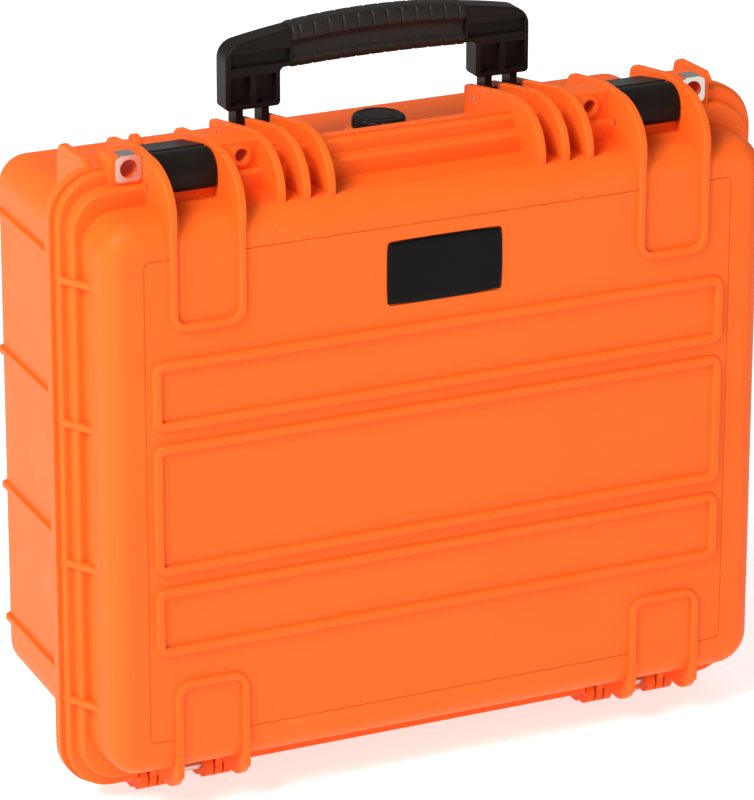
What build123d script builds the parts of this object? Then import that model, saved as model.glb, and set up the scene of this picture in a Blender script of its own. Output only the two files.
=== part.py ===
"""Hard equipment case: a drafted tub and lid in one colour of plastic, clamped by two over-top latches.

The case stands on its hinge side.  +X is to the right, -Y is the lid side (the front) and +Z is up.
The origin is the middle of the footprint.  Heights are tied to the rim and depths to the parting plane.
"""
from build123d import *
from math import radians, tan
import os

os.makedirs("parts", exist_ok=True)

# ------------------------------------------------------------------ driving dimensions (mm)
rim_width = 520.0            # over the flange of the tub
rim_height = 440.0
lid_depth = 56.0             # lid front wall to parting plane
tub_depth = 158.0            # parting plane to tub back wall
stand_height = 12.0          # floor to the lowest edge of the tub flange
wall = 3.5
draft = 1.7                  # degrees on every wall that leaves the mould
corner_radius = 25.0         # corners of the shell seen from the front
lid_edge_radius = 15.0
tub_edge_radius = 20.0

rim_side = 15.0              # flange beyond the wall at the sides
lid_rim_end = 23.0           # flange beyond the lid wall at top and bottom
tub_rim_end = 27.0           # flange beyond the tub wall at top and bottom
tub_flange_depth = 10.0
tub_flange_radius = 33.0
lid_flange_inset = 3.0       # lid flange is this much smaller than the tub flange at the sides
lid_flange_inset_end = 0.8
lid_lip_depth = 8.0          # front of the lid flange, the full-height band
lid_shoulder_depth = 10.0    # stepped band in front of it
lid_shoulder_step = 8.0      # how far the shoulder is below the lip at top and bottom
lid_shoulder_step_side = 4.5
parting_gap = 0.3

seal_width = 6.0
seal_depth = 4.0
seal_offset = 3.5            # middle of the groove outside the lid wall
tongue_width = 2.5
tongue_gap = 0.4

ridge_height = 3.0
panel_ridge = 6.5
latch_ridge = 5.4
panel_inset = 33.0           # panels and back panels inside the lid's sides
panel_radius = 8.0
panel_spans = [(52.3, 100.8), (-50.0, 42.7), (-108.5, -59.2)]   # each panel, bottom and top, from mid height
border_inset = 28.2          # fine line round the lid front, inside its sides
border_inset_end = 26.0
border_radius = 4.5
border_line = 0.7
border_line_depth = 0.4
latch_frame_foot = 120.0     # lower bar of the frame under each latch, above mid height
hinge_frame_head = 128.5     # upper bar of the frame over each hinge, below mid height
frame_radius = 12.0

plate_width = 85.0
plate_height = 45.0
plate_centre = 137.9         # above mid height
plate_radius = 4.0
plate_thickness = 2.0
plate_recess = 0.8

latch_x = 171.75             # middle of a latch, and of the hinge below it
latch_inside = 43.3          # between the cheeks
latch_side_gap = 1.05
latch_pin_radius = 2.5
latch_pin_back = 20.0        # pin in front of the parting plane
latch_pin_drop = 11.5        # pin below the rim
latch_barrel = 5.0
latch_plate = 3.6
hook_gap = 3.0
hook_thickness = 4.0
hook_depth = 9.0

hinge_radius = 9.0
hinge_gap = 1.0
hinge_pin_radius = 3.0
fin_thickness = 6.0
fin_gap = 1.15
runner_inset = 8.0           # runners end this far in front of the tub's back wall
runner_arch = 14.0

ear_inner_x = 77.5           # first of three ears each side
ear_pitch = 18.0
ear_count = 3
ear_thickness = 5.5
ear_end_radius = 4.0
handle_pin_drop = 7.0
handle_pin_radius = 2.0
leg_inset = 4.5              # leg block beyond the middle of the first ear
leg_end_gap = 0.5
pocket_rim = 3.5
pocket_web = 4.5
leg_clearance = 17.0         # from the pivot to the underside of the leg block
handle_thickness = 17.7
grip_half = 64.5
grip_thickness = 21.0
grip_core_thickness = 12.0
prong_thickness = 5.2
prong_gaps = (0.55, 1.65)    # between each prong and the ear inside it
hub_radius = 6.5
hub_gap = 0.6

padlock_offset = 12.4        # outside the latch's outer cheek
padlock_radius = 6.15        # hole in the steel plate
lock_hole_gap = 0.35         # moulded holes behind it are this much wider
padlock_plate = 18.5
padlock_plate_thickness = 1.2
eyelet_offset = 15.2         # outside the last ear
eyelet_radius = 4.5
eyelet_boss_radius = 7.5
eyelet_boss = 2.0
lug_height = 9.5
corner_rib_x = 230.5         # middle of the rib near each top corner

valve_back = 49.0            # behind the parting plane
valve_stem = 9.0
valve_stem_gap = 0.2
valve_boss_rim = 4.5         # boss beyond the knob
valve_boss_drop = 17.0       # top of the boss below the rim
o_ring_inner = 10.5
o_ring_outer = 13.5
o_ring_height = 1.4
valve_knob_radius = 18.5
running_gap = 0.06
snug_gap = 0.02
rib_edge = 1.1               # rounding of a moulded rib

# ------------------------------------------------------------------ places worked out from them
mid_z = stand_height + rim_height / 2
rim_z = mid_z + rim_height / 2
rim_low = mid_z - rim_height / 2
parting_y = (lid_depth - tub_depth) / 2
lid_front = parting_y - lid_depth
tub_back = parting_y + tub_depth
lid_width = rim_width - 2 * rim_side
lid_height = rim_height - 2 * lid_rim_end
tub_height = rim_height - 2 * tub_rim_end
tub_top = mid_z + tub_height / 2
cheek_offset = (latch_inside + latch_ridge) / 2
latch_pin_y = parting_y - latch_pin_back
latch_pin_z = rim_z - latch_pin_drop
ear_xs = [ear_inner_x + ear_pitch * i for i in range(ear_count)]
handle_y = parting_y + 56.0
handle_z = rim_z - handle_pin_drop
valve_y = parting_y + valve_back
lid_lug_depth = lid_lip_depth + 4.0
fin_offsets = (cheek_offset - latch_ridge / 2 - fin_gap - fin_thickness / 2,
               cheek_offset + latch_ridge / 2 + fin_gap + fin_thickness / 2)
hinge_half = fin_offsets[1] + fin_thickness / 2
padlock_x = latch_x + cheek_offset + padlock_offset
eyelet_x = ear_xs[-1] + eyelet_offset
leg_inner = ear_inner_x - leg_inset
leg_outer = ear_xs[-1] - leg_end_gap
panel_width = lid_width - 2 * panel_inset
runner_depth = tub_depth - runner_inset
valve_bore = valve_stem + valve_stem_gap
boss_top = rim_z - valve_boss_drop


# ------------------------------------------------------------------ shapes used by both shells
def facing(y, toward):
    """Plane through depth y at mid height, looking towards the front (-1) or the back (+1)."""
    return Plane(origin=(0, y, mid_z), x_dir=(1, 0, 0), z_dir=(0, toward, 0))


def end_face(part, toward):
    return part.faces().sort_by(Axis.Y)[-1 if toward > 0 else 0]


def drafted_block(width, height, radius, y, toward, depth, taper, edge):
    """Rounded rectangle pulled from depth y, narrowing, with its far edge rounded."""
    with BuildPart() as block:
        with BuildSketch(facing(y, toward)):
            RectangleRounded(width, height, radius)
        extrude(amount=depth, taper=taper)
        fillet(end_face(block, toward).edges(), edge)
    return block.part


def ring(width, height, radius, line, y, toward, depth, edge=0.0):
    """Rectangular rib or groove: its outer outline, the width of its line, and its depth."""
    with BuildPart() as band:
        with BuildSketch(facing(y, toward)):
            RectangleRounded(width, height, radius)
            RectangleRounded(width - 2 * line, height - 2 * line, max(radius - line, 0.5), mode=Mode.SUBTRACT)
        extrude(amount=depth)
        if edge:
            fillet(end_face(band, toward).edges(), edge)
    return band.part


def slab(outline, x, thickness, edge=rib_edge):
    """Upright rib across X: outline draws its side view in Y and Z."""
    with BuildPart() as rib:
        with BuildSketch(Plane.YZ.offset(x)):
            with BuildLine():
                outline()
            make_face()
        extrude(amount=thickness / 2, both=True)
        if edge:
            fillet(rib.faces().filter_by(Axis.X).edges(), edge)
    return rib.part


def cross_bar(x, y, z, radius, length):
    """Round bar or bore along X, centred on x."""
    with BuildPart() as bar:
        with BuildSketch(Plane.YZ.offset(x)):
            with Locations((y, z)):
                Circle(radius)
        extrude(amount=length / 2, both=True)
    return bar.part


def depth_bar(x, z, radius, y_from, y_to):
    """Round bar or bore along Y."""
    with BuildPart() as bar:
        with BuildSketch(Plane(origin=(x, y_from, z), x_dir=(1, 0, 0), z_dir=(0, 1, 0))):
            Circle(radius)
        extrude(amount=y_to - y_from)
    return bar.part


def block(x_span, y_span, z_span):
    """Box between limits."""
    with BuildPart() as box:
        with Locations([(sum(x_span) / 2, sum(y_span) / 2, sum(z_span) / 2)]):
            Box(x_span[1] - x_span[0], y_span[1] - y_span[0], z_span[1] - z_span[0])
    return box.part


def both_sides(x):
    return (-x, x)


# ------------------------------------------------------------------ side views of the ribs
def lid_cheek_outline():
    """Latch cheek on the lid: level on top, then a quarter ellipse down to the front ribs."""
    seam = parting_y - parting_gap / 2
    shoulder = parting_y - 20
    front = lid_front - ridge_height
    low = rim_z - 22
    top = Line((seam, rim_z + 11.5), (shoulder, rim_z + 10))
    curve = EllipticalCenterArc((shoulder, low), shoulder - front, 32, 90, arc_size=90)
    Polyline(curve @ 1, (front, low - 8), (front + 14, low - 26), (seam, low - 26), top @ 0)


def tub_cheek_outline():
    """The same cheek carried on over the tub, with a rounded hump at its end."""
    seam = parting_y + parting_gap / 2
    hump_y, hump_z, hump = parting_y + 43.5, rim_z - 3.5, 8.5
    bottom = tub_top - 5
    Polyline((seam, bottom), (seam, rim_z + 11.5), (hump_y + 1.2, hump_z + hump))
    ThreePointArc((hump_y + 1.2, hump_z + hump), (hump_y + 6.4, hump_z + 5.6), (hump_y + hump, hump_z))
    Polyline((hump_y + hump, hump_z), (hump_y + hump + 3, bottom), (seam, bottom))


def corner_rib_outline():
    """Rib behind the flange near each top corner, with the same hump at its end."""
    hump_y, hump_z, hump = parting_y + 43.5, rim_z - 3.5, 8.5
    front = parting_y + 2
    bottom = tub_top - 9
    Polyline((front, bottom), (front, rim_z - 1), (front + 8, rim_z + 6), (hump_y + 1.2, hump_z + hump))
    ThreePointArc((hump_y + 1.2, hump_z + hump), (hump_y + 6.4, hump_z + 5.6), (hump_y + hump, hump_z))
    Polyline((hump_y + hump, hump_z), (hump_y + hump + 3, bottom), (front, bottom))


def catch_rib_outline():
    """Short rib behind the left latch, shaped like the hump of the cheeks."""
    hump_y, hump_z, hump = parting_y + 43.5, rim_z - 3.5, 8.5
    bottom = tub_top - 5
    ThreePointArc((hump_y - 7, hump_z), (hump_y, hump_z + hump), (hump_y + hump, hump_z))
    Polyline((hump_y + hump, hump_z), (hump_y + hump + 3, bottom), (hump_y - 7, bottom), (hump_y - 7, hump_z))


def lid_fan_outline():
    """Front part of a handle ear, on the lid: a quarter ellipse up to the seam."""
    seam = parting_y - parting_gap / 2
    shoulder = parting_y - 10
    reach = lid_depth - 20
    top = Line((seam, rim_z + 12), (shoulder, rim_z + 11))
    foot = rim_z - 20
    curve = EllipticalCenterArc((shoulder, foot), reach, rim_z + 11 - foot, 90, arc_size=90)
    Polyline(curve @ 1, (shoulder - reach, foot - 6), (shoulder - reach + 6, foot - 16),
             (seam, foot - 16), top @ 0)


def tub_ear_outline():
    """Rear part of a handle ear, on the tub, falling gently to its rounded back corner."""
    seam = parting_y + parting_gap / 2
    back = handle_y + 14.5
    corner = ear_end_radius
    top_back = rim_z + 0.3
    Polyline((seam, tub_top - 5), (seam, rim_z + 12), (back - corner, top_back))
    ThreePointArc((back - corner, top_back), (back - 0.29 * corner, top_back - 0.29 * corner),
                  (back, top_back - corner))
    Polyline((back, top_back - corner), (back, tub_top - 5), (seam, tub_top - 5))


def hinge_arm_outline():
    """Lid arm: down from the front ribs, round the foot and back to the hinge line."""
    front = lid_front - ridge_height
    foot = rim_low + 9
    seam = parting_y - parting_gap / 2
    Line((front, mid_z - lid_height / 2 + 26), (front, foot + 21))
    ThreePointArc((front, foot + 21), (front + 6.15, foot + 6.15), (front + 21, foot))
    Polyline((front + 21, foot), (parting_y - 13, foot), (parting_y - 4, rim_low - 6),
             (seam, rim_low - 6), (seam, mid_z - lid_height / 2 + 26), (front, mid_z - lid_height / 2 + 26))


def hinge_fin_outline():
    """Tub fin: behind the hinge line it becomes a runner that the case stands on."""
    inside = mid_z - tub_height / 2 + 5
    back = runner_depth
    points = [(3, inside), (3, 6), (9, 0), (48, 0), (59, runner_arch), (back - 55, runner_arch), (back - 44, 0),
              (back - 16, 0), (back - 6, 12), (back, inside)]
    Polyline(*[(parting_y + y, z) for y, z in points], close=True)


# ------------------------------------------------------------------ lid shell
lip_y = parting_y - parting_gap
lid_lip = drafted_block(rim_width - 2 * lid_flange_inset, rim_height - 2 * lid_flange_inset_end,
                        tub_flange_radius - 1, lip_y, -1, lid_lip_depth - parting_gap, 0, 2.0)
lid_shoulder = drafted_block(
    rim_width - 2 * lid_flange_inset - 2 * lid_shoulder_step_side,
    rim_height - 2 * lid_flange_inset_end - 2 * lid_shoulder_step,
    tub_flange_radius - 5, lip_y, -1, lid_lip_depth + lid_shoulder_depth - parting_gap, 6, 2.5)
hinge_notch_lid = [block((x - hinge_half - 1, x + hinge_half + 1), (lid_front + 20, lip_y),
                         (-1, rim_low + hinge_radius + hinge_gap)) for x in both_sides(latch_x)]
panels = [ring(panel_width, top - low, panel_radius, panel_ridge, lid_front + wall, -1,
               wall + ridge_height, 1.8).translate((0, 0, (top + low) / 2)) for low, top in panel_spans]


def end_frame(x, foot, head):
    """Three-sided frame of ribs on the lid front, open at the edge of the lid."""
    span = head - foot
    with BuildPart() as frame:
        with BuildSketch(Plane(origin=(x, lid_front + wall, mid_z + (head + foot) / 2),
                               x_dir=(1, 0, 0), z_dir=(0, -1, 0))):
            RectangleRounded(latch_inside + 2 * latch_ridge, span, frame_radius)
            RectangleRounded(latch_inside, span - 2 * latch_ridge, frame_radius - latch_ridge, mode=Mode.SUBTRACT)
        extrude(amount=wall + ridge_height)
        fillet(end_face(frame, -1).edges(), 1.5)
        open_end = lid_height / 2 + 2
        outward = 1 if head + foot > 0 else -1
        with Locations((x, lid_front, mid_z + outward * (open_end + 50))):
            Box(80, 60, 100, mode=Mode.SUBTRACT)
    return frame.part


top_frames = [end_frame(x, latch_frame_foot, lid_height / 2 + 40) for x in both_sides(latch_x)]
foot_frames = [end_frame(x, -lid_height / 2 - 40, -hinge_frame_head) for x in both_sides(latch_x)]
cheek_xs = [side * latch_x + end * cheek_offset for side in (-1, 1) for end in (-1, 1)]
lid_cheeks = [slab(lid_cheek_outline, x, latch_ridge) for x in cheek_xs]
lid_fans = [slab(lid_fan_outline, x, ear_thickness) for e in ear_xs for x in both_sides(e)]
hinge_arms = [slab(hinge_arm_outline, x, latch_ridge, 0.9) for x in cheek_xs]
arm_knuckles = [cross_bar(x, parting_y, rim_low, hinge_radius, latch_ridge) for x in cheek_xs]


def gusset(side, height):
    """Small web between the lid flange and the lid side."""
    with BuildPart() as web:
        with BuildSketch(Plane.XY.offset(mid_z + height - 2.5)):
            with BuildLine():
                edge = side * rim_width / 2
                Polyline((edge - side * 24, lip_y), (edge - side * 2.5, lip_y), (edge - side * 2.5, lip_y - 6),
                         (edge - side * 17, lip_y - 34), (edge - side * 24, lip_y - 34), close=True)
            make_face()
        extrude(amount=5)
        fillet(web.faces().filter_by(Axis.Z).edges(), 1.0)
    return web.part


gussets = [gusset(side, height) for side in (-1, 1) for height in (-150, -50, 50, 150)]


def lug(x_span, depth_span):
    """Block that carries a lock hole above the flange, its top corners rounded."""
    with BuildPart() as piece:
        width = x_span[1] - x_span[0]
        with BuildSketch(Plane(origin=((x_span[0] + x_span[1]) / 2, depth_span[1], rim_z - 4),
                               x_dir=(1, 0, 0), z_dir=(0, -1, 0))):
            RectangleRounded(width, 2 * lug_height + 8, 4)
        extrude(amount=depth_span[1] - depth_span[0])
        fillet(end_face(piece, -1).edges(), 0.9)
    return piece.part


outer_lug_span = (latch_x + cheek_offset, padlock_x + 13)
inner_lug_span = (ear_xs[-1], latch_x - cheek_offset)
lug_spans = [outer_lug_span, inner_lug_span]
lug_spans += [(-b, -a) for a, b in lug_spans]
lid_lugs = [lug(span, (parting_y - lid_lug_depth, lip_y)) for span in lug_spans]
tub_lugs = [lug(span, (parting_y, parting_y + tub_flange_depth)) for span in lug_spans]
eyelet_bosses = [depth_bar(x, rim_z, eyelet_boss_radius, parting_y - lid_lug_depth - eyelet_boss, lip_y)
                 for x in both_sides(eyelet_x)]
lock_holes = [depth_bar(x, rim_z + 1.5, padlock_radius + lock_hole_gap, lid_front, tub_back)
              for x in both_sides(padlock_x)]
lock_holes += [depth_bar(x, rim_z, eyelet_radius, lid_front, tub_back) for x in both_sides(eyelet_x)]


with BuildPart() as border_groove:
    add(ring(lid_width - 2 * border_inset, lid_height - 2 * border_inset_end, border_radius, border_line,
             lid_front + border_line_depth, -1, 2.0))
    add([block((x - cheek_offset, x + cheek_offset), (lid_front - 5, lid_front + 5), (0, rim_z))
         for x in both_sides(latch_x)], mode=Mode.SUBTRACT)

seal_w = lid_width + 2 * seal_offset
seal_h = lid_height + 2 * seal_offset
seal_r = corner_radius + seal_offset
seal_floor = parting_y - lid_lip_depth

with BuildPart() as lid_shell:
    add(drafted_block(lid_width, lid_height, corner_radius, lip_y, -1, lid_depth - parting_gap, draft,
                      lid_edge_radius))
    add([lid_lip, lid_shoulder])
    add(hinge_notch_lid, mode=Mode.SUBTRACT)
    add(cross_bar(-latch_x, latch_pin_y, latch_pin_z, latch_barrel + 1.2, latch_inside), mode=Mode.SUBTRACT)
    add(cross_bar(latch_x, latch_pin_y, latch_pin_z, latch_barrel + 1.2, latch_inside), mode=Mode.SUBTRACT)
    add(panels + top_frames + foot_frames + gussets + lid_lugs + eyelet_bosses)
    add(lid_cheeks + lid_fans + hinge_arms + arm_knuckles)
    add(drafted_block(lid_width - 2 * wall, lid_height - 2 * wall, corner_radius - wall, parting_y, -1,
                      lid_depth - wall, draft, lid_edge_radius - wall), mode=Mode.SUBTRACT)
    add(border_groove.part, mode=Mode.SUBTRACT)
    add(ring(seal_w + seal_width, seal_h + seal_width, seal_r + seal_width / 2, seal_width, parting_y, -1,
             lid_lip_depth), mode=Mode.SUBTRACT)
    add([cross_bar(x, parting_y, rim_low, hinge_pin_radius + running_gap, 2 * hinge_half)
         for x in both_sides(latch_x)], mode=Mode.SUBTRACT)
    add([cross_bar(x, latch_pin_y, latch_pin_z, latch_pin_radius + snug_gap, latch_inside + 4 * latch_ridge)
         for x in both_sides(latch_x)], mode=Mode.SUBTRACT)
    add(lock_holes, mode=Mode.SUBTRACT)
    with BuildSketch(facing(lid_front + plate_recess, -1)):
        with Locations((0, plate_centre)):
            RectangleRounded(plate_width + 0.4, plate_height + 0.4, plate_radius)
    extrude(amount=plate_recess + 1, mode=Mode.SUBTRACT)
lid_shell.part.label = "lid_shell"

with BuildPart() as lid_gasket:
    add(ring(seal_w + seal_width, seal_h + seal_width, seal_r + seal_width / 2, seal_width, seal_floor, 1,
             seal_depth))
lid_gasket.part.label = "lid_gasket"

with BuildPart() as nameplate:
    with BuildSketch(facing(lid_front + plate_recess, -1)):
        with Locations((0, plate_centre)):
            RectangleRounded(plate_width, plate_height, plate_radius)
    extrude(amount=plate_thickness)
    fillet(end_face(nameplate, -1).edges(), 0.8)
nameplate.part.label = "nameplate"


# ------------------------------------------------------------------ tub
def side_rib(side, height):
    """Long rib down the side of the tub, following its draft."""
    half = rim_width / 2 - rim_side
    lean = 4.6
    with BuildPart() as rib:
        with BuildSketch(Plane.XY.offset(mid_z + height - 2.5)):
            with BuildLine():
                Polyline((side * (half - 12), parting_y + 4), (side * (half + ridge_height), parting_y + 4),
                         (side * (half + ridge_height - lean), tub_back - 14),
                         (side * (half - 12), tub_back - 6), close=True)
            make_face()
        extrude(amount=5)
        fillet(rib.faces().filter_by(Axis.Z).edges(), 1.0)
    return rib.part


side_ribs = [side_rib(side, height) for side in (-1, 1) for height in (-150, -50, 50, 150)]
tub_cheeks = [slab(tub_cheek_outline, x, latch_ridge) for x in cheek_xs]
tub_ears = [slab(tub_ear_outline, x, ear_thickness) for e in ear_xs for x in both_sides(e)]
corner_ribs = [slab(corner_rib_outline, x, latch_ridge) for x in both_sides(corner_rib_x)]
catch_rib = slab(catch_rib_outline, -latch_x - 8.5, latch_ridge)
fins = [slab(hinge_fin_outline, side * latch_x + end * offset, fin_thickness, 1.0)
        for side in (-1, 1) for end in (-1, 1) for offset in fin_offsets]
fin_knuckles = [cross_bar(side * latch_x + end * offset, parting_y, rim_low, hinge_radius, fin_thickness)
                for side in (-1, 1) for end in (-1, 1) for offset in fin_offsets]
hinge_notch_tub = [block((x - hinge_half - 1, x + hinge_half + 1), (parting_y - 1, parting_y + 20),
                         (-1, rim_low + hinge_radius + hinge_gap)) for x in both_sides(latch_x)]
back_panels = [ring(panel_width, top - low, panel_radius, panel_ridge, tub_back - wall, 1,
                    wall + ridge_height, 1.8).translate((0, 0, (top + low) / 2)) for low, top in panel_spans]

with BuildPart() as valve_boss:
    with BuildSketch(Plane.XY.offset(tub_top - 12)):
        with Locations((0, valve_y)):
            Circle(valve_knob_radius + valve_boss_rim)
    extrude(amount=boss_top - tub_top + 12)
    fillet(valve_boss.faces().sort_by(Axis.Z)[-1].edges(), 2)

with BuildPart() as base_shell:
    add(drafted_block(lid_width, tub_height, corner_radius, parting_y, 1, tub_depth, draft, tub_edge_radius))
    add(drafted_block(rim_width, rim_height, tub_flange_radius, parting_y, 1, tub_flange_depth, 0, 2.0))
    add(hinge_notch_tub, mode=Mode.SUBTRACT)
    add(side_ribs + tub_cheeks + tub_ears + fins + fin_knuckles + back_panels + tub_lugs)
    add(corner_ribs + [catch_rib, valve_boss.part])
    add(drafted_block(lid_width - 2 * wall, tub_height - 2 * wall, corner_radius - wall, parting_y - 1, 1,
                      tub_depth - wall + 1, draft, tub_edge_radius - wall), mode=Mode.SUBTRACT)
    add(ring(seal_w + tongue_width, seal_h + tongue_width, seal_r + tongue_width / 2, tongue_width, parting_y,
             -1, lid_lip_depth - seal_depth - tongue_gap, 0.6))
    add([cross_bar(x, parting_y, rim_low, hinge_pin_radius + snug_gap, 2 * hinge_half + 2)
         for x in both_sides(latch_x)], mode=Mode.SUBTRACT)
    add([cross_bar(x, handle_y, handle_z, handle_pin_radius + snug_gap, ear_pitch * ear_count)
         for x in both_sides(ear_xs[1])], mode=Mode.SUBTRACT)
    add(lock_holes, mode=Mode.SUBTRACT)
    with BuildSketch(Plane.XY.offset(tub_top - 30)):
        with Locations((0, valve_y)):
            Circle(valve_bore)
    extrude(amount=80, mode=Mode.SUBTRACT)
base_shell.part.label = "base_shell"


# ------------------------------------------------------------------ latches
def lever_outline():
    """Lever side view: rounded front, groove at the crest, cover plate over the rim, hook, finger tail."""
    front = latch_pin_y - latch_barrel
    crest = parting_y - 7
    hook = parting_y + tub_flange_depth + hook_gap
    t = latch_plate
    rise = Line((front, latch_pin_z), (front, rim_z - 4))
    brow = ThreePointArc(rise @ 1, (front + 4.2, rim_z + 4.6), (crest, rim_z + 8.2))
    Polyline(brow @ 1, (crest + 1, rim_z + 7.3), (crest + 2.2, rim_z + 7.3), (crest + 3.2, rim_z + 8.4),
             (parting_y + 32, rim_z + 1.2), (parting_y + 31.4, rim_z + 1.2 - t),
             (hook + hook_thickness, rim_z + 0.6), (hook + hook_thickness, rim_z - hook_depth),
             (hook, rim_z - hook_depth), (hook, rim_z + 1.7), (parting_y - 4, rim_z + 7.7 - t),
             (front + 8, rim_z + 4.2 - t), (latch_pin_y + latch_barrel, rim_z - 5),
             (latch_pin_y + latch_barrel, latch_pin_z), rise @ 0)


lever_half = latch_inside / 2 - latch_side_gap


def latch_lever(x, name):
    with BuildPart() as lever:
        with BuildSketch(Plane.YZ.offset(x)):
            with BuildLine():
                lever_outline()
            make_face()
            with Locations((latch_pin_y, latch_pin_z)):
                Circle(latch_barrel)
        extrude(amount=lever_half, both=True)
        fillet(lever.faces().filter_by(Axis.X).edges(), 0.8)
        add(cross_bar(x, latch_pin_y, latch_pin_z, latch_pin_radius + running_gap, 2 * lever_half + 2),
            mode=Mode.SUBTRACT)
    lever.part.label = name
    export_step(lever.part, f"parts/{name}.step")


def pin(x, y, z, radius, length, name):
    """Steel cross pin with chamfered ends."""
    with BuildPart() as rod:
        add(cross_bar(x, y, z, radius, length))
        chamfer(rod.faces().filter_by(Axis.X).edges(), 0.4)
    rod.part.label = name
    export_step(rod.part, f"parts/{name}.step")


def padlock_clip(x, name):
    """Steel plate on the front of an outer lug, with a tab folded over the top."""
    face = parting_y - lid_lug_depth
    t = padlock_plate_thickness
    z = rim_z + 1.5
    top = rim_z - 4 + lug_height + 4
    with BuildPart() as clip:
        with BuildSketch(Plane(origin=(x, face, z - 0.4), x_dir=(1, 0, 0), z_dir=(0, -1, 0))):
            RectangleRounded(padlock_plate, padlock_plate - 1, 3.5)
        extrude(amount=t)
        add(block((x - 5.5, x + 5.5), (face - t, face), (z + 4, top + t)))
        add(block((x - 5.5, x + 5.5), (face - t, lip_y - 0.6), (top, top + t)))
        add(depth_bar(x, z, padlock_radius, face - 5, face + 5), mode=Mode.SUBTRACT)
        fillet(clip.edges().filter_by(Axis.X).sort_by(Axis.Z)[-1:], 0.3)
    clip.part.label = name
    export_step(clip.part, f"parts/{name}.step")


for side, word in ((-1, "left"), (1, "right")):
    latch_lever(side * latch_x, f"latch_lever_{word}")
    pin(side * latch_x, latch_pin_y, latch_pin_z, latch_pin_radius, latch_inside + 2 * latch_ridge - 0.4,
        f"latch_pin_{word}")
    pin(side * latch_x, parting_y, rim_low, hinge_pin_radius, 2 * hinge_half - 0.6, f"hinge_pin_{word}")
    pin(side * ear_xs[1], handle_y, handle_z, handle_pin_radius, ear_pitch * 2 + ear_thickness - 0.6,
        f"handle_pin_{word}")
    padlock_clip(side * padlock_x, f"padlock_plate_{word}")

# ------------------------------------------------------------------ handle
leg_bottom = handle_z + leg_clearance
grip_under = leg_bottom + 26
shoulder_z = leg_bottom + 44.5
crown_z = leg_bottom + 56.5


def handle_plane():
    return Plane(origin=(0, handle_y, 0), x_dir=(1, 0, 0), z_dir=(0, -1, 0))


def grip_band(half, over, under, thickness):
    """Arched bar of the handle between two X limits, grown or shrunk above and below."""
    drop = (shoulder_z - crown_z) * (half / leg_outer) ** 2
    with BuildPart() as band:
        with BuildSketch(handle_plane()):
            with BuildLine():
                ThreePointArc((-half, crown_z + drop + over), (0, crown_z + over), (half, crown_z + drop + over))
                Line((half, crown_z + drop + over), (half, grip_under - under))
                ThreePointArc((half, grip_under - under), (0, grip_under + 1.5 - under), (-half, grip_under - under))
                Line((-half, grip_under - under), (-half, crown_z + drop + over))
            make_face()
        extrude(amount=thickness / 2, both=True)
    return band.part


with BuildPart() as handle_frame:
    with BuildSketch(handle_plane()) as frame_sketch:
        with BuildLine():
            ThreePointArc((-leg_outer, shoulder_z), (0, crown_z), (leg_outer, shoulder_z))
            Polyline((leg_outer, shoulder_z), (leg_outer, leg_bottom), (leg_inner, leg_bottom),
                     (leg_inner, grip_under))
            ThreePointArc((leg_inner, grip_under), (0, grip_under + 1.5), (-leg_inner, grip_under))
            Polyline((-leg_inner, grip_under), (-leg_inner, leg_bottom), (-leg_outer, leg_bottom),
                     (-leg_outer, shoulder_z))
        make_face()
        corners = frame_sketch.vertices()
        fillet(corners.filter_by_position(Axis.Y, shoulder_z - 1, shoulder_z + 1), 13)
        fillet(frame_sketch.vertices().filter_by_position(Axis.Y, leg_bottom - 1, leg_bottom + 1), 3)
        fillet(frame_sketch.vertices().filter_by_position(Axis.Y, grip_under - 1, grip_under + 1), 3.5)
    extrude(amount=handle_thickness / 2, both=True)
    fillet(handle_frame.faces().filter_by(Axis.Y).edges(), 1.6)
    add(block((-grip_half, grip_half), (handle_y - 20, handle_y + 20), (grip_under - 20, crown_z + 20)),
        mode=Mode.SUBTRACT)
    add(grip_band(grip_half + 1, -3.5, -3.5, grip_core_thickness))
    leg_middle = (leg_inner + leg_outer) / 2
    pocket_spans = [(leg_inner + pocket_rim, leg_middle - pocket_web / 2),
                    (leg_middle + pocket_web / 2, leg_outer - pocket_rim)]
    for side in (-1, 1):
        for face in (-1, 1):
            for start, end in pocket_spans:
                add(block(sorted((side * start, side * end)), sorted((handle_y + face * 3.2, handle_y + face * 20)),
                          (leg_bottom + 3.5, leg_bottom + 23)), mode=Mode.SUBTRACT)
            add(block(sorted((side * (grip_half + 2), side * (leg_outer - pocket_rim))),
                      sorted((handle_y + face * 5, handle_y + face * 20)),
                      (grip_under + 3.5, grip_under + 13)), mode=Mode.SUBTRACT)
        for n, gap in enumerate(prong_gaps):
            x = side * (ear_xs[n] + (ear_thickness + prong_thickness) / 2 + gap)
            add(block((x - prong_thickness / 2, x + prong_thickness / 2),
                      (handle_y - hub_radius, handle_y + hub_radius), (handle_z, leg_bottom + 4)))
            hub_half = (ear_pitch - ear_thickness) / 2 - hub_gap
            hub_x = side * (ear_xs[n] + ear_pitch / 2)
            add(cross_bar(hub_x, handle_y, handle_z, hub_radius, 2 * hub_half))
    add([cross_bar(x, handle_y, handle_z, handle_pin_radius + running_gap, ear_pitch * ear_count)
         for x in both_sides(ear_xs[1])], mode=Mode.SUBTRACT)
handle_frame.part.label = "handle_frame"

with BuildPart() as handle_grip:
    add(grip_band(grip_half, 1.8, 1.5, grip_thickness))
    fillet(handle_grip.edges().filter_by_position(Axis.X, -grip_half + 1, grip_half - 1), 4)
    add(grip_band(grip_half + 1, -3.5, -3.5, grip_core_thickness), mode=Mode.SUBTRACT)
handle_grip.part.label = "handle_grip"


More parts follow.
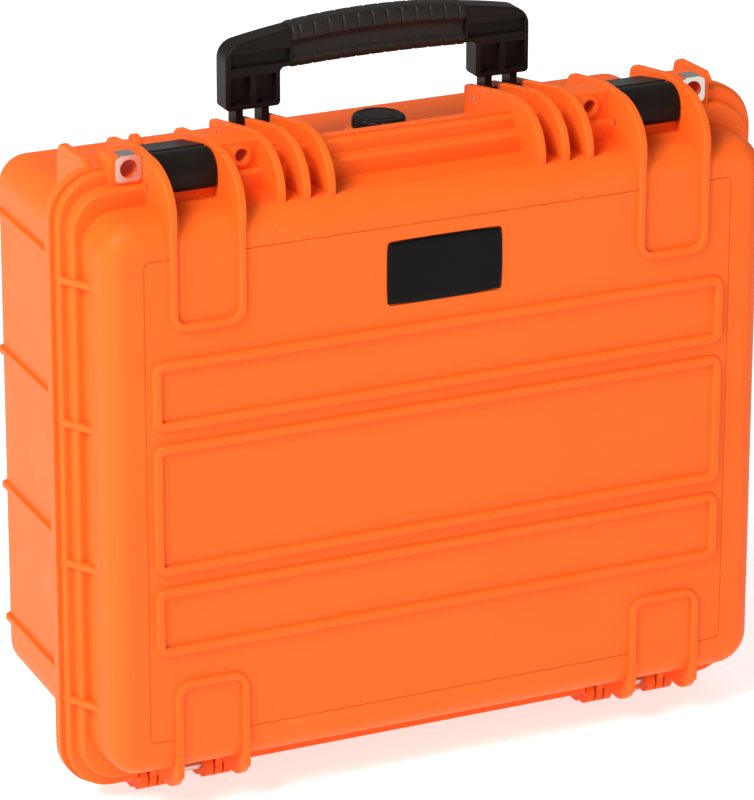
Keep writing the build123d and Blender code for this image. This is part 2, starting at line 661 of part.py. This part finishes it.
# ------------------------------------------------------------------ pressure valve
def disc(radius, z_from, z_to):
    with BuildPart() as round_piece:
        with BuildSketch(Plane.XY.offset(z_from)):
            with Locations((0, valve_y)):
                Circle(radius)
        extrude(amount=z_to - z_from)
    return round_piece.part


seat_z = boss_top
spigot_radius = 7.0
bezel_top = seat_z + 2.2
spigot_top = bezel_top + 4
knob_top = rim_z - 6
nut_radius = 15.0
nut_top = tub_top - wall - (valve_back + 1 + nut_radius) * tan(radians(draft)) - 0.1

with BuildPart() as valve_body:
    add(disc(valve_knob_radius - 1.5, seat_z, bezel_top))
    add(disc(spigot_radius, bezel_top, spigot_top))
    add(disc(valve_stem, nut_top - 8, seat_z))
    add(disc(4, nut_top - 10, spigot_top + 1), mode=Mode.SUBTRACT)
    add(disc(5, spigot_top - 0.6, spigot_top + 1), mode=Mode.SUBTRACT)
    with BuildSketch(Plane.XY.offset(seat_z - 1)):
        with Locations((0, valve_y)):
            Circle(o_ring_outer + 0.1)
            Circle(o_ring_inner - 0.1, mode=Mode.SUBTRACT)
    extrude(amount=o_ring_height + 1, mode=Mode.SUBTRACT)
valve_body.part.label = "valve_body"

with BuildPart() as valve_o_ring:
    with BuildSketch(Plane.XY.offset(seat_z)):
        with Locations((0, valve_y)):
            Circle(o_ring_outer)
            Circle(o_ring_inner, mode=Mode.SUBTRACT)
    extrude(amount=o_ring_height)
    fillet(valve_o_ring.edges(), 0.5)
valve_o_ring.part.label = "valve_o_ring"

with BuildPart() as valve_membrane:
    add(disc(5 - snug_gap, spigot_top - 0.6, spigot_top - 0.1))
valve_membrane.part.label = "valve_membrane"

with BuildPart() as valve_nut:
    with BuildSketch(Plane.XY.offset(nut_top - 6)):
        with Locations((0, valve_y)):
            RegularPolygon(nut_radius, 6)
            Circle(valve_stem + snug_gap, mode=Mode.SUBTRACT)
    extrude(amount=6)
valve_nut.part.label = "valve_nut"

with BuildPart() as valve_knob:
    add(disc(valve_knob_radius, bezel_top + 0.3, knob_top))
    fillet(valve_knob.faces().sort_by(Axis.Z)[-1].edges(), 2)
    add(disc(spigot_radius + running_gap, bezel_top, spigot_top + 0.4), mode=Mode.SUBTRACT)
valve_knob.part.label = "valve_knob"

for piece in (lid_shell, lid_gasket, nameplate, base_shell, handle_frame, handle_grip,
              valve_body, valve_o_ring, valve_membrane, valve_nut, valve_knob):
    export_step(piece.part, f"parts/{piece.part.label}.step")
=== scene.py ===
"""Looks of the hard equipment case: moulded orange shells, black nylon latches and handle, steel fittings.

All lengths are in metres.  The case stands on its hinge side, with its lid towards -Y.
"""
import math

import bpy
import numpy as np
from mathutils import Matrix, Vector


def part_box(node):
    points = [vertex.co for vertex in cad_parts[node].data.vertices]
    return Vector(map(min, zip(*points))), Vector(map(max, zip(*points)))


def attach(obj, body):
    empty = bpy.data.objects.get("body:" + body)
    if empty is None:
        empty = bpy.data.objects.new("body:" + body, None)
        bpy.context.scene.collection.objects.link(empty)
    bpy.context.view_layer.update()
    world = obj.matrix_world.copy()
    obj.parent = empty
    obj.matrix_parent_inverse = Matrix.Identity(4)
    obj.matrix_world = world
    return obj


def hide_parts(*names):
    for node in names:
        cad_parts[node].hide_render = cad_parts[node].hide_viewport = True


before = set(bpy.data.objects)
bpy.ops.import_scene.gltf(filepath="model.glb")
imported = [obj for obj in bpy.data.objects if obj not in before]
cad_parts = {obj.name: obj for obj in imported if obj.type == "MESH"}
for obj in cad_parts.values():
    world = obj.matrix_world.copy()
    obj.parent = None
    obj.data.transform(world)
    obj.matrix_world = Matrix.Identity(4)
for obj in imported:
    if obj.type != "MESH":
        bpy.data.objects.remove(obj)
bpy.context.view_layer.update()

# ---------------------------------------------------------------- studio
# A white table and a white room: one large soft light high on the left, a weaker one in front,
# and the case seen from the left and a little above.
camera_place = (-1.366, -2.921, 1.456)
camera_turn = math.radians(25.067)     # from straight ahead towards +X
camera_dip = math.radians(20.70)
camera_roll = math.radians(0.10)
camera_lens = 223.5
film_width = 36
far_limit = 50

forward = Vector((math.sin(camera_turn) * math.cos(camera_dip),
                  math.cos(camera_turn) * math.cos(camera_dip), -math.sin(camera_dip)))
camera = bpy.data.objects.new("camera", bpy.data.cameras.new("camera"))
camera.data.lens = camera_lens
camera.data.sensor_width = film_width
camera.data.clip_end = far_limit
camera.matrix_world = (Matrix.Translation(camera_place) @ forward.to_track_quat("-Z", "Y").to_matrix().to_4x4()
                       @ Matrix.Rotation(camera_roll, 4, "Z"))
bpy.context.scene.collection.objects.link(camera)
bpy.context.scene.camera = camera
bpy.context.scene.view_settings.view_transform = "Standard"


def soft_light(name, place, aim, width, height, watts, colour=(1, 1, 1)):
    """Rectangular lamp at place, facing aim."""
    light = bpy.data.lights.new(name, "AREA")
    light.shape = "RECTANGLE"
    light.size = width
    light.size_y = height
    light.energy = watts
    light.color = colour
    lamp = bpy.data.objects.new(name, light)
    turn = (Vector(aim) - Vector(place)).to_track_quat("-Z", "Y")
    lamp.matrix_world = Matrix.Translation(place) @ turn.to_matrix().to_4x4()
    bpy.context.scene.collection.objects.link(lamp)


case_middle = (0, 0, 0.25)
room_brightness = 0.34
soft_light("key", (-2.0, -1.0, 2.5), case_middle, 1.5, 1.5, 124, (1.0, 0.97, 0.90))
soft_light("front_fill", (-0.6, -3.2, 1.0), case_middle, 2.2, 1.8, 6)
world = bpy.data.worlds.new("room")
world.use_nodes = True
world.node_tree.nodes["Background"].inputs["Color"].default_value = (1, 1, 1, 1)
world.node_tree.nodes["Background"].inputs["Strength"].default_value = room_brightness
bpy.context.scene.world = world

# ---------------------------------------------------------------- floor
# White table top, running on far behind the case.  It glows a little, so that it stays white right
# up to the case.  Every finish below is made with the two classes that come first here.


class Field:
    """A number or colour that varies over a surface.  Arithmetic on it adds the Math nodes."""

    def __init__(self, finish, socket):
        self.finish = finish
        self.socket = socket

    def math(self, operation, first, second):
        return self.finish.node("ShaderNodeMath", {"operation": operation}, {0: first, 1: second})

    def __add__(self, other):
        return self.math("ADD", self, other)

    def __mul__(self, other):
        return self.math("MULTIPLY", self, other)

    __radd__ = __add__
    __rmul__ = __mul__


class Finish:
    """One material: a Principled shader and the nodes that feed it."""

    def __init__(self, name, **constants):
        self.material = bpy.data.materials.new(name)
        self.material.use_nodes = True
        self.tree = self.material.node_tree
        self.shader = self.tree.nodes["Principled BSDF"]
        for socket, value in constants.items():
            self.shader.inputs[socket.replace("_", " ")].default_value = value

    def node(self, kind, settings=None, inputs=None, output=0):
        """Adds a node: its settings first, then the values or links of its sockets."""
        made = self.tree.nodes.new(kind)
        for key, value in (settings or {}).items():
            setattr(made, key, value)
        for key, value in (inputs or {}).items():
            if isinstance(value, Field):
                self.tree.links.new(value.socket, made.inputs[key])
            else:
                made.inputs[key].default_value = value
        return Field(self, made.outputs[output])

    def place(self):
        return self.node("ShaderNodeTexCoord", output="Object")

    def noise(self, scale, detail=2.0, roughness=0.5):
        """Soft random pattern from 0 to 1, scale in lumps per metre."""
        return self.node("ShaderNodeTexNoise", {}, {"Vector": self.place(), "Scale": scale, "Detail": detail,
                                                    "Roughness": roughness})

    def blend(self, amount, low, high):
        """Colour between low and high."""
        return self.node("ShaderNodeMix", {"data_type": "RGBA"}, {0: amount, 6: low, 7: high}, output=2)

    def rounded_edge(self, radius):
        """Normal that rolls over sharp edges, as a moulded edge does."""
        return self.node("ShaderNodeBevel", {"samples": 6}, {"Radius": radius})

    def bump(self, height, depth, normal):
        return self.node("ShaderNodeBump", {}, {"Height": height, "Distance": depth, "Strength": 1.0,
                                                "Normal": normal})

    def feed(self, **links):
        for socket, value in links.items():
            self.tree.links.new(value.socket, self.shader.inputs[socket.replace("_", " ")])

    def wear(self, *names):
        """Puts this finish on CAD nodes."""
        for name in names:
            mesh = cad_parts[name].data
            mesh.materials.clear()
            mesh.materials.append(self.material)


reach = 30.0
floor_glow = 0.62
floor_mesh = bpy.data.meshes.new("floor")
floor_mesh.from_pydata([(-reach, -reach, 0), (reach, -reach, 0), (reach, reach, 0), (-reach, reach, 0)],
                       [], [(0, 1, 2, 3)])
floor = bpy.data.objects.new("floor", floor_mesh)
bpy.context.scene.collection.objects.link(floor)
paper = Finish("white_paper", Roughness=0.9, Emission_Color=(1, 1, 1, 1), Emission_Strength=floor_glow)
paper.feed(Base_Color=paper.blend(paper.noise(3.0), (0.93, 0.93, 0.93, 1), (0.95, 0.95, 0.95, 1)))
floor_mesh.materials.append(paper.material)

# ---------------------------------------------------------------- lid and tub
# Two injection-moulded polypropylene shells in one orange.  The mould leaves a fine even grain,
# slightly more matt on some flats than on others, and every rib edge is a little rounded.
mm = 0.001
orange = Finish("orange_polypropylene", Specular_IOR_Level=0.12)
cloudy = orange.noise(14, 3)
grain = orange.noise(2600, 2, 0.6)
waves = orange.noise(34, 2)
orange.feed(
    Base_Color=orange.blend(cloudy, (0.84, 0.116, 0.012, 1), (0.89, 0.131, 0.015, 1)),
    Roughness=0.38 + 0.12 * waves + 0.06 * grain,
    Normal=orange.bump(grain * 0.25 + waves, 0.00016, orange.rounded_edge(0.9 * mm)))
orange.wear("base_shell", "lid_shell")

# ---------------------------------------------------------------- seal
# Black neoprene, with fine open pores: the cord in the groove of the lid, and the ring that seals
# the pressure valve against its boss.
seal = Finish("neoprene", Specular_IOR_Level=0.3)
pores = seal.noise(1800, 3)
seal.feed(Base_Color=seal.blend(pores, (0.010, 0.010, 0.010, 1), (0.022, 0.021, 0.021, 1)),
          Roughness=0.62 + 0.2 * pores,
          Normal=seal.bump(pores, 0.00008, seal.rounded_edge(0.4 * mm)))
seal.wear("lid_gasket", "valve_o_ring")

# ---------------------------------------------------------------- latches and handle frame
# Glass-filled black nylon, moulded, with a satin surface and a faint grain.  The levers turn on pins
# between the cheeks of the lid, and the prongs of the handle on pins between the ears of the tub.
nylon = Finish("black_nylon", Specular_IOR_Level=0.12)
nylon_grain = nylon.noise(2200, 3, 0.6)
nylon_cloud = nylon.noise(45, 2)
nylon.feed(Base_Color=nylon.blend(nylon_cloud, (0.0060, 0.0040, 0.0032, 1), (0.011, 0.0075, 0.0058, 1)),
           Roughness=0.34 + 0.14 * nylon_cloud + 0.08 * nylon_grain,
           Normal=nylon.bump(nylon_grain, 0.00005, nylon.rounded_edge(0.8 * mm)))
nylon.wear("latch_lever_left", "latch_lever_right", "handle_frame", "valve_body", "valve_nut")

# ---------------------------------------------------------------- handle grip
# Soft rubber moulded over the bar of the handle: two bands with a deep channel between them,
# ringed by shallow grooves so that it doesn't slip in the hand.
rubber = Finish("grip_rubber", Specular_IOR_Level=0.28)
rubber_grain = rubber.noise(1500, 3, 0.6)
rubber_cloud = rubber.noise(60, 2)
grip_stations = 241            # rings along the grip
grip_points = 72               # points round each ring
grip_grooves = 12
groove_half_width = 1.3 * mm
grip_end_fade = 1.6 * mm
grip_crown = 3.9 * mm          # arch of the top edge
grip_belly = 1.5 * mm          # arch of the bottom edge
channel_share = 0.62           # thickness left in the channel
lower_band_share = 0.86        # fullness of the lower band
groove_squeeze = 0.075
end_squeeze = 0.05
rubber.feed(Base_Color=rubber.blend(rubber_cloud, (0.0080, 0.0055, 0.0042, 1), (0.015, 0.011, 0.0085, 1)),
            Roughness=0.46 + 0.16 * rubber_grain,
            Normal=rubber.bump(rubber_grain, 0.00007, rubber.rounded_edge(0.5 * mm)))


def skin(name, rings):
    """Closed mesh through an array of rings (ring, point, xyz): quads between neighbouring rings,
    and a fan of triangles from the middle of the first and of the last ring."""
    count, around = rings.shape[:2]
    points = np.vstack([rings.reshape(-1, 3), rings[0].mean(0), rings[-1].mean(0)])
    row, col = np.meshgrid(np.arange(count - 1), np.arange(around), indexing="ij")
    here, there = row * around + col, row * around + (col + 1) % around
    quads = np.stack([here, here + around, there + around, there], -1).reshape(-1, 4)
    step = np.arange(around)
    after = (step + 1) % around
    last = (count - 1) * around
    start = np.stack([step, after, np.full(around, count * around)], -1)
    end = np.stack([last + after, last + step, np.full(around, count * around + 1)], -1)
    mesh = bpy.data.meshes.new(name)
    mesh.from_pydata(points.tolist(), [], quads.tolist() + start.tolist() + end.tolist())
    mesh.polygons.foreach_set("use_smooth", np.ones(len(mesh.polygons), bool))
    piece = bpy.data.objects.new(name, mesh)
    bpy.context.scene.collection.objects.link(piece)
    return piece


def smooth_step(low, high, x):
    """0 below low, 1 above high, and an S-curve between."""
    t = np.clip((x - low) / (high - low), 0, 1)
    return t * t * (3 - 2 * t)


def grip_rings():
    """A rounded oblong carried along X.  Its top and bottom edges follow shallow arches; its half
    thickness is full in the two bands and narrow in the channel, and each groove draws it in."""
    low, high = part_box("handle_grip")
    half_length = high.x
    x = np.linspace(-half_length, half_length, grip_stations)
    end = smooth_step(0, grip_end_fade, half_length - np.abs(x))
    turn = np.linspace(0, 2 * np.pi, grip_points, endpoint=False)
    across = x / half_length
    top = high.z - grip_crown * across ** 2
    bottom = low.z + grip_belly * (1 - across ** 2)
    middle, tall = (top + bottom) / 2, (top - bottom) / 2
    side, up = np.cos(turn), np.sin(turn)
    y = np.sign(side) * np.abs(side) ** 0.42
    z = np.sign(up) * np.abs(up) ** 0.62
    waist = smooth_step(0.14, 0.34, z) + smooth_step(-0.44, -0.60, z) * lower_band_share
    pitch = 2 * half_length / grip_grooves
    phase = np.abs((x / pitch) % 1 - 0.5) * pitch
    groove = (1 - smooth_step(0, groove_half_width, phase)) * end
    draw = 1 - end_squeeze * (1 - end)[:, None] - groove_squeeze * groove[:, None] * np.clip(waist, 0, 1)
    thick = (high.y - low.y) / 2 * (channel_share + (1 - channel_share) * waist)[None, :] * draw
    lift = 1 - 0.03 * groove[:, None] - 0.02 * (1 - end)[:, None]
    rings = np.empty((len(x), len(turn), 3))
    rings[..., 0] = x[:, None]
    rings[..., 1] = (low.y + high.y) / 2 + thick * y
    rings[..., 2] = middle[:, None] + tall[:, None] * z * lift
    return rings


grip = skin("handle_grip_rubber", grip_rings())
grip.data.materials.append(rubber.material)
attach(grip, "handle")
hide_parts("handle_grip")

# ---------------------------------------------------------------- nameplate
# Thin black plate under a clear resin that was poured and set in a low dome.  It is stuck in a
# shallow pocket of the lid, and is left blank.
resin = Finish("domed_resin", Specular_IOR_Level=0.06)
resin_flow = resin.noise(22, 2)
resin.feed(Base_Color=resin.blend(resin_flow, (0.0035, 0.003, 0.0035, 1), (0.006, 0.005, 0.005, 1)),
           Roughness=0.10 + 0.06 * resin_flow,
           Normal=resin.bump(resin_flow, 0.0001, resin.rounded_edge(0.3 * mm)))
plate_low, plate_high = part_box("nameplate")
plate_corner = 4 * mm
tightest_corner = 0.6 * mm
dome_margin = 7 * mm           # the dome is flat further in than this
rim_inset = (0, 0, 0.08, 0.25, 0.5)
rim_rise = (0, 1.05, 1.2, 1.32, 1.4)
rim_height = rim_rise[-1] * mm
dome_rings = 30
plate_points = 160
straight_share = 1.42          # how early each side of the oblong runs straight


def plate_rings():
    """Rounded oblongs, each one smaller than the last, stepping forward from the pocket.  The rim is
    upright with a quarter-round edge, and inside it the resin swells as one minus the fourth power
    of the distance left to the margin."""
    inset = np.concatenate([rim_inset, np.geomspace(0.9, 20.5, dome_rings)]) * mm
    rim = np.concatenate([rim_rise, np.zeros(dome_rings)]) * mm
    swell = 1 - (1 - np.clip(inset / dome_margin, 0, 1)) ** 4
    thick = plate_high.y - plate_low.y
    forward = np.where(rim > 0, rim, rim_height + (thick - rim_height) * swell)
    forward[0] = 0
    turn = np.linspace(0, 2 * np.pi, plate_points, endpoint=False)
    half_wide = (plate_high.x - plate_low.x) / 2 - inset[:, None]
    half_tall = (plate_high.z - plate_low.z) / 2 - inset[:, None]
    corner = np.maximum(plate_corner - 0.5 * inset[:, None], tightest_corner)
    corner = np.minimum(corner, half_tall)
    side, up = np.cos(turn)[None, :], np.sin(turn)[None, :]
    x = np.clip(side * straight_share, -1, 1) * (half_wide - corner) + corner * side
    z = np.clip(up * straight_share, -1, 1) * (half_tall - corner) + corner * up
    rings = np.empty((len(inset), len(turn), 3))
    rings[..., 0] = (plate_low.x + plate_high.x) / 2 + x
    rings[..., 1] = (plate_high.y - forward)[:, None]
    rings[..., 2] = (plate_low.z + plate_high.z) / 2 + z
    return rings


dome = skin("nameplate_dome", plate_rings())
dome.data.materials.append(resin.material)
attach(dome, "lid")
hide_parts("nameplate")

# ---------------------------------------------------------------- steel fittings
# Stainless steel, lightly brushed.  The pins are turned and pushed into their bores, and the padlock
# plates are pressed and folded over the lugs of the lid.
steel = Finish("stainless_steel", Metallic=1.0)
brushed = steel.node("ShaderNodeTexNoise", {}, {
    "Vector": steel.node("ShaderNodeMapping", {}, {"Vector": steel.place(), "Scale": (60, 900, 900)}),
    "Scale": 1.0, "Detail": 3.0})
steel.feed(Base_Color=steel.blend(brushed, (0.50, 0.48, 0.45, 1), (0.66, 0.64, 0.61, 1)),
           Roughness=0.22 + 0.2 * brushed,
           Normal=steel.bump(brushed, 0.00003, steel.rounded_edge(0.3 * mm)))
steel.wear("hinge_pin_left", "hinge_pin_right", "handle_pin_left", "handle_pin_right", "latch_pin_left",
           "latch_pin_right", "padlock_plate_left", "padlock_plate_right")

# ---------------------------------------------------------------- pressure valve
# Air passes through the valve body by way of a white breathable membrane, a disc of stiff fleece
# pressed into its top, under the knob.
fleece = Finish("membrane", Roughness=0.9)
fibre = fleece.noise(2500, 4)
fleece.feed(Base_Color=fleece.blend(fibre, (0.72, 0.72, 0.70, 1), (0.88, 0.88, 0.86, 1)),
            Normal=fleece.bump(fibre, 0.00005, fleece.rounded_edge(0.1 * mm)))
fleece.wear("valve_membrane")

# The knob is turned by hand to let air in: a black nylon cap with finger scallops round its side,
# a ring groove on top, and a blind hole below that runs on the spigot of the valve body.
knob_low, knob_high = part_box("valve_knob")
spigot_hole = 7.06 * mm
spigot_hole_depth = 4.1 * mm
scallops = 10
scallop_depth = 0.055          # share of the radius
cap_edge = 2.4 * mm            # rounding at the top of the side
crown_rise = 0.5 * mm
foot_edge = 0.5 * mm
ring_groove = 0.7 * mm         # its depth, and half its width
ring_groove_place = 0.66       # share of the radius
knob_points = 200


def knob_rings():
    """A profile of radius and height, turned about Z.  It starts in the blind hole, runs out under the
    cap, up its side and over the top; on the side the radius dips with the cosine of the angle."""
    full = (knob_high.x - knob_low.x) / 2
    tall = knob_high.z - knob_low.z
    arc = np.linspace(0, np.pi / 2, 8)
    over = np.linspace(0.97, 0.02, 60) * (full - cap_edge)
    groove = np.exp(-((over - ring_groove_place * full) / ring_groove) ** 2) * ring_groove
    crown = crown_rise * (1 - (over / full) ** 2) - groove
    radius = np.concatenate([[spigot_hole, spigot_hole, full - foot_edge, full, full],
                             full - cap_edge + cap_edge * np.cos(arc), over])
    height = np.concatenate([[spigot_hole_depth, 0, 0, foot_edge, 2 * mm],
                             tall - cap_edge - crown_rise + cap_edge * np.sin(arc), tall - crown_rise + crown])
    turn = np.linspace(0, 2 * np.pi, knob_points, endpoint=False)
    dip = np.clip(np.cos(scallops * turn), 0, 1) ** 2
    on_side = smooth_step(full - 3 * mm, full - 1 * mm, radius)
    swept = radius[:, None] * (1 - scallop_depth * dip[None, :] * on_side[:, None])
    rings = np.empty((len(radius), len(turn), 3))
    rings[..., 0] = (knob_low.x + knob_high.x) / 2 + swept * np.cos(turn)
    rings[..., 1] = (knob_low.y + knob_high.y) / 2 + swept * np.sin(turn)
    rings[..., 2] = knob_low.z + height[:, None]
    return rings


knob = skin("valve_knob_cap", knob_rings())
knob.data.materials.append(nylon.material)
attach(knob, "knob")
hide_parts("valve_knob")
